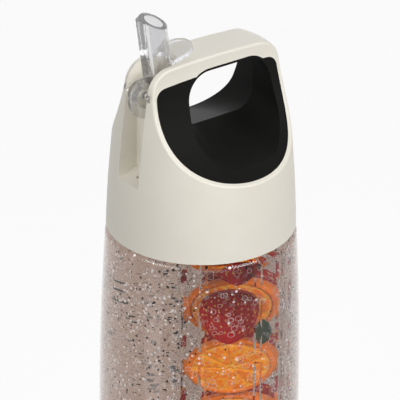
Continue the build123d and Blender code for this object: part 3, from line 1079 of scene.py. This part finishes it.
@dataclass
class CitrusSlice:
    """A slice of orange or lime: rind, pith ring and segments of pulp on both faces.

    Widths are shares of the slice's radius. Each pad of pulp is pinched at both its ends.
    """

    rind: Finish
    pith: Finish
    pulp: Finish
    slot: str
    lying: bool = False
    rind_width: float = 0.09
    pith_width: float = 0.17
    core: float = 0.12
    edge_round: float = 0.05
    segments: int = 9
    gap: float = 0.045
    swell: float = 0.045
    pad_height: float = 0.85
    outer_pinch: Pair = (0.5, 0.75)
    inner_pinch: Pair = (0.6, 0.2)
    narrowest: float = 0.02
    rim_faces: int = 72

    def model(self, radius: float, thickness: float) -> Piece:
        """Models a slice lying flat round the origin.

        Args:
            radius: to the outside of the rind.
            thickness: from face to face.

        Returns:
            The slice.
        """
        swell, rind = self.swell * radius, self.rind_width * radius / 2
        slab = drawn(
            bpy.ops.mesh.primitive_cylinder_add,
            vertices=self.rim_faces,
            radius=radius,
            depth=thickness,
        )
        give(slab, self.rind, self.pith, self.pulp)
        with editing(slab):
            bpy.ops.mesh.select_mode(type="FACE")
            bpy.ops.mesh.select_all(action="DESELECT")
        for face in slab.data.polygons:
            face.select = self.is_disc(face)
        with editing(slab):
            bpy.ops.mesh.bevel(offset=self.edge_round * radius, segments=3)
        for face in slab.data.polygons:
            face.select = self.is_disc(face)
        with editing(slab):
            bpy.ops.mesh.inset(thickness=rind)
            bpy.ops.mesh.inset(thickness=rind, depth=-swell)
        for face in slab.data.polygons:
            face.material_index = int(self.is_disc(face))
        return joined(slab, *self.pads(radius, thickness / 2 - swell, swell))

    @staticmethod
    def is_disc(face: bpy.types.MeshPolygon) -> bool:
        """Whether this is a slice's whole flat face and not one of the small ones."""
        return len(face.vertices) > 4

    def pads(self, radius: float, face_height: float, swell: float) -> list[Piece]:
        """The swelling segments of pulp on both faces.

        Args:
            radius: the slice's radius.
            face_height: from the middle plane to the pith's face.
            swell: how far a segment stands above the pith.

        Returns:
            One object for each segment and face.
        """
        half_angle = math.pi / self.segments
        inner, outer = self.core * radius, radius * (1 - self.pith_width)
        margin = self.gap * radius / 2
        pad = drawn(bpy.ops.mesh.primitive_grid_add, x_subdivisions=6, y_subdivisions=4, size=2)
        for vertex in pad.data.vertices:
            along, aside = (vertex.co.x + 1) / 2, vertex.co.y
            reach = inner + (outer - inner) * along
            pinch, start = self.outer_pinch
            squeeze = 1 - pinch * max(0.0, along - start)
            pinch, start = self.inner_pinch
            squeeze -= pinch * max(0.0, start - along)
            half = max(reach * math.sin(half_angle) - margin, self.narrowest * radius)
            side = half * aside * squeeze
            vertex.co = (math.sqrt(max(reach**2 - side**2, 0)), side, face_height)
        rise = {"value": (0, 0, self.pad_height * swell)}
        with editing(pad):
            bpy.ops.mesh.select_all(action="SELECT")
            bpy.ops.mesh.extrude_region_move(TRANSFORM_OT_translate=rise)
        close_and_turn_out(pad)
        apply_modifier(pad, "SUBSURF", levels=1, render_levels=1)
        give(pad, self.pulp)
        made = []
        for count in range(self.segments):
            for flip in (Matrix.Identity(4), Matrix.Rotation(math.pi, 4, "X")):
                segment = pad.copy()
                segment.data = pad.data.copy()
                segment.data.transform(Matrix.Rotation(2 * half_angle * count, 4, "Z") @ flip)
                bpy.context.scene.collection.objects.link(segment)
                made.append(segment)
        bpy.data.objects.remove(pad)
        return made

    def put(self, name: str, node: str) -> None:
        """Stands a slice on edge where this CAD node is, or lays it flat there."""
        place = Place(node)
        if self.lying:
            low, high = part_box(node)
            slab = self.model((high.x - low.x) / 2, high.z - low.z)
            matrix = Matrix.Translation((low + high) / 2)
        else:
            slab = self.model(place.sizes.z / 2, place.sizes.y)
            matrix = place.matrix() @ Matrix.Rotation(math.pi / 2, 4, "X")
        place.fill(slab, name, matrix)


@dataclass
class StrawberryHalf:
    """Half a strawberry, crown up, with seeds on its skin.

    The tip's and the crown's shapes are the two powers of their outlines' curves. The dip is
    the share of the length that the crown sinks by, and where it starts. Seeds go from one
    share of the length to another. At the sizes used here the cut's fill closes only a patch
    at the tip, so the flat side is open and shows the inside of the skin.
    """

    widest_share: float = 0.62
    tip_shape: Pair = (2.1, 0.72)
    crown_shape: Pair = (2.6, 0.5)
    crown_dip: Pair = (0.12, 0.93)
    rings: int = 22
    spokes: int = 36
    seed_rows: int = 9
    seed_shares: Pair = (0.1, 0.92)
    seeds_round: int = 13
    seed_size: tuple[float, float, float] = (0.315 * MM, 0.15 * MM, 0.6 * MM)
    slope_step: float = 0.02

    def profile(self, share: float) -> float:
        """The radius at a share of the height from the tip, as a share of the widest.

        Args:
            share: 0 at the tip and 1 at the crown.

        Returns:
            The share of the widest radius.
        """
        if share < self.widest_share:
            away, shape = (self.widest_share - share) / self.widest_share, self.tip_shape
        else:
            away = (share - self.widest_share) / (1 - self.widest_share)
            shape = self.crown_shape
        return max(1 - away ** shape[0], 0.0) ** shape[1]

    def model(self, radius: float, length: float) -> Piece:
        """Models the half with its cut side on the XZ plane and its skin towards +Y.

        Args:
            radius: at the widest place.
            length: from tip to crown.

        Returns:
            The half berry.
        """
        berry = drawn(
            bpy.ops.mesh.primitive_uv_sphere_add,
            segments=self.spokes,
            ring_count=self.rings,
            radius=length / 2,
        )
        dip, dip_start = self.crown_dip
        for vertex in berry.data.vertices:
            share = min(max(vertex.co.z / length + 0.5, 0), 1)
            outward = Vector((vertex.co.x, vertex.co.y, 0)).normalized()
            height = (share - 0.5 - dip * max(0.0, share - dip_start)) * length
            vertex.co = outward * (radius * self.profile(share)) + UP * height
        give(berry, BERRY_SKIN, BERRY_FLESH, BERRY_SEED)
        with editing(berry):
            bpy.ops.mesh.select_all(action="SELECT")
            bpy.ops.mesh.bisect(
                plane_co=(0, 0, 0), plane_no=(0, 1, 0), use_fill=True, clear_inner=True
            )
        for face in berry.data.polygons:
            face.material_index = int(face.normal.y < -0.95)
        return joined(berry, self.seeds(radius, length))

    def seeds(self, radius: float, length: float) -> Piece:
        """The seeds, in staggered rows on the skin.

        Args:
            radius: the berry's widest radius.
            length: its length.

        Returns:
            All the seeds in one object.
        """
        seed = drawn(bpy.ops.mesh.primitive_uv_sphere_add, segments=6, ring_count=4, radius=1.0)
        give(seed, BERRY_SEED)
        size, places = Matrix.Diagonal((*self.seed_size, 1)), []
        (first, last), step = self.seed_shares, self.slope_step
        for row in range(self.seed_rows):
            share = first + (last - first) * (row + 0.5) / self.seed_rows
            reach = radius * self.profile(share)
            count = max(3, round(self.seeds_round * reach / radius))
            growth = self.profile(share + step) - self.profile(share - step)
            slope = radius * growth / (2 * step * length)
            for place in range(count):
                angle = math.pi * (place + (0.25 if row % 2 else 0.75)) / count
                out = Vector((math.cos(angle), math.sin(angle), 0))
                along = (out * slope + UP).normalized()
                skin = (out - UP * slope).normalized()
                turn = Matrix((along.cross(skin), skin, along)).transposed().to_4x4()
                centre = out * reach + UP * ((share - 0.5) * length)
                places.append(Matrix.Translation(centre) @ turn @ size)
        return copied("seeds", seed, places)

    def put(self, name: str, node: str) -> None:
        """Stands a half where the CAD half of this node is, with its cut side turned like it."""
        place = Place(node)
        berry = self.model(place.sizes.x / 2, place.sizes.z)
        cut = place.spans[1][0 if place.leans_front else 1]
        matrix = place.matrix(cut, turned_back=not place.leans_front)
        place.fill(berry, name, matrix)


@dataclass
class MintLeaf:
    """A small wet leaf with a saw-toothed edge and a slight cup.

    The points are the power of its outline's curve, and the cup's bend the power of its fold.
    """

    teeth: int = 7
    tooth_depth: float = 0.08
    points: float = 0.7
    cup: float = 0.5 * MM
    cup_bend: float = 1.5
    thickness: float = 0.35 * MM

    def put(self, name: str, node: str) -> None:
        """Models the leaf and stands it where the solid of this CAD node is."""
        place = Place(node)
        leaf = drawn(bpy.ops.mesh.primitive_grid_add, x_subdivisions=10, y_subdivisions=28, size=2)
        for vertex in leaf.data.vertices:
            aside, along = vertex.co.x, vertex.co.y
            wave = abs((along * self.teeth) % 1 - 0.5)
            tooth = 1 - self.tooth_depth * 2 * wave * abs(aside)
            reach = max(1 - along**2, 0.0) ** self.points * tooth * place.sizes.x / 2
            fold = self.cup * (abs(aside) ** self.cup_bend - 0.5)
            vertex.co = (aside * reach, fold, along * place.sizes.z / 2)
        apply_modifier(leaf, "SOLIDIFY", thickness=self.thickness, offset=0.0)
        close_and_turn_out(leaf)
        give(leaf, MINT_BLADE)
        place.fill(leaf, name, place.matrix(), smooth=60)


@dataclass
class Infuser:
    """The clear basket and the fruit that fills it."""

    oranges: int = 4
    berries: int = 7
    limes: int = 2

    def build(self) -> None:
        """Dresses the basket and sets each piece of fruit in its place."""
        give_nodes(CLEAR_BASKET, "infuser_basket")
        orange = CitrusSlice(ORANGE_RIND, ORANGE_PITH, ORANGE_PULP, "orange_flesh")
        lime = CitrusSlice(LIME_RIND, LIME_PITH, LIME_PULP, "lime_flesh", lying=True, segments=8)
        for fruit, name, node, number in (
            (orange, "orange_wheel", "orange_slice", self.oranges),
            (StrawberryHalf(), "strawberry", "strawberry_half", self.berries),
            (lime, "lime_wheel", "lime_slice", self.limes),
        ):
            for count in range(1, number + 1):
                fruit.put(f"{name}_{count}", f"{node}_{count}")
        MintLeaf().put("mint_sprig_leaf", "mint_leaf")


@dataclass
class Lamp:
    """A soft oblong lamp that looks at a point of the bottle: degrees, metres and watts."""

    name: str
    azimuth: float
    elevation: float
    distance: float
    width: float
    height: float
    power: float
    aim: tuple[float, float, float] = (0.0, 0.0, 0.2)

    def build(self) -> None:
        """Hangs the lamp and turns it to its aim."""
        light = bpy.data.lights.new(self.name, "AREA")
        light.shape = "RECTANGLE"
        light.size, light.size_y = self.width, self.height
        light.energy = self.power
        away = direction(self.azimuth, self.elevation)
        lamp = bpy.data.objects.new(self.name, light)
        lamp.location = Vector(self.aim) + away * self.distance
        lamp.rotation_euler = away.to_track_quat("Z", "Y").to_euler()
        bpy.context.scene.collection.objects.link(lamp)


LAMPS = (
    Lamp("right_softbox", 17, 31, distance=1.1, width=0.6, height=0.42, power=7.6),
    Lamp("left_softbox", -87, 31, distance=1.1, width=0.9, height=0.28, power=5.6),
    Lamp("front_fill", -25, 5, distance=1.6, width=1.2, height=1.2, power=9.0),
    Lamp("back_fill", 150, 10, distance=1.6, width=1.2, height=1.2, power=4.5),
)


@dataclass
class Studio:
    """A white sweep, soft lamps and the camera at the photograph's angle."""

    floor_size: float = 12.0
    azimuth: float = -38.2
    elevation: float = 27.3
    distance: float = 0.9
    roll: float = 0.6
    focal_length: float = 188.7
    aim: tuple[float, float, float] = (-0.0004, 0.0003, 0.1895)
    ambient: float = 0.2

    def build(self) -> None:
        """Sets the view, the world, the floor, the lamps and the camera."""
        bpy.context.scene.view_settings.view_transform = "Standard"
        self.add_world()
        floor = drawn(bpy.ops.mesh.primitive_plane_add, size=self.floor_size)
        floor.name = "studio_floor"
        give(floor, Paper("matt_white_paper"))
        for lamp in LAMPS:
            lamp.build()
        self.add_camera()

    def add_world(self) -> None:
        """A white backdrop that lights the bottle at a lower, even level."""
        world = bpy.data.worlds.new("white_studio")
        world.use_nodes = True
        bpy.context.scene.world = world
        graph = Graph(world.node_tree)
        level = graph.ranged(graph.backdrop(), (self.ambient, 1.0))
        backdrop = graph.first("Background", {"Color": "FFFFFF", "Strength": level})
        graph.add("OutputWorld", {"Surface": backdrop})

    def add_camera(self) -> None:
        """A long lens that looks down on the front left, rolled a little."""
        back = direction(self.azimuth, self.elevation)
        data = bpy.data.cameras.new("camera")
        data.lens = self.focal_length
        camera = bpy.data.objects.new("camera", data)
        place = Matrix.Translation(Vector(self.aim) + back * self.distance)
        turned_to = back.to_track_quat("Z", "Y").to_matrix().to_4x4()
        roll = Matrix.Rotation(math.radians(self.roll), 4, "Z")
        camera.matrix_world = place @ turned_to @ roll
        bpy.context.scene.collection.objects.link(camera)
        bpy.context.scene.camera = camera


def main() -> None:
    """Builds the bottle's sub-assemblies in order, then the studio."""
    logging.basicConfig(level=logging.INFO, format="%(name)s: %(message)s")
    bottle = Bottle()
    bottle.build()
    Lid().build()
    Infuser().build()
    Fizz(bottle).build()
    Studio().build()
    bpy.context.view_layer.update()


if __name__ == "__main__":
    main()
